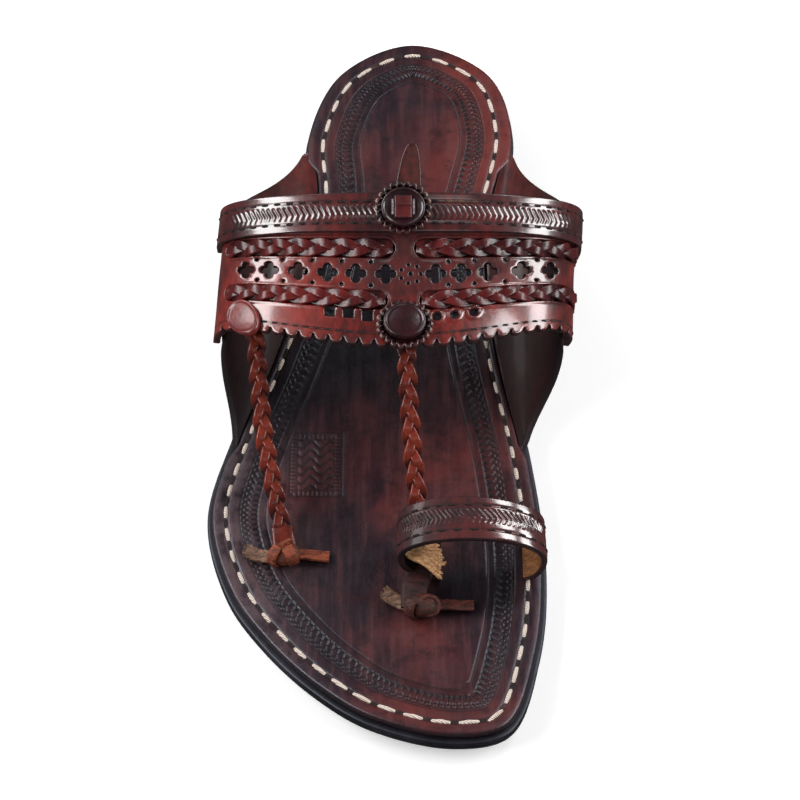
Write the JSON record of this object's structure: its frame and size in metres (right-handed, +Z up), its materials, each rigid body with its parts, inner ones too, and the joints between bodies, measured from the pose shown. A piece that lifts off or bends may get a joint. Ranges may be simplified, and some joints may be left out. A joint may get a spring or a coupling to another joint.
{
  "type": "kolhapuri sandal",
  "caption": "Flat leather right-foot sandal with side ears, an arched openwork instep band with plaits and medallions, plaited thongs and a toe loop.",
  "frame": {"origin": "on the floor under the middle of the sandal's box", "axes": "+X to the big toe's side, +Y to the heel, +Z up"},
  "size_m": [0.1176, 0.2733, 0.0789],
  "materials": {
    "sole_leather": "black waxed sole leather",
    "insole_leather": "dark brown tooled leather with red patches, satin",
    "ear_leather": "dark brown leather, satin",
    "band_leather": "oxblood leather, polished",
    "plait_leather": "red-brown plaited leather strips, polished",
    "knot_leather": "undyed tan leather, matt"
  },
  "bodies": {
    "root": {"outsole": "sole_leather", "heel_block": "sole_leather", "insole": "insole_leather", "ear_left": "ear_leather", "ear_right": "ear_leather", "instep_band": "band_leather", "top_strip": "band_leather", "braid_upper_left": "plait_leather", "braid_upper_right": "plait_leather", "braid_lower_left": "plait_leather", "braid_lower_right": "plait_leather", "rear_washer": "band_leather", "rear_disc": "band_leather", "front_washer": "band_leather", "front_disc": "band_leather", "side_disc": "band_leather", "rear_tab": "band_leather", "toe_loop": "band_leather", "centre_thong": "plait_leather", "side_thong": "plait_leather", "centre_knot": "knot_leather", "side_knot": "knot_leather"}
  },
  "joints": []
}
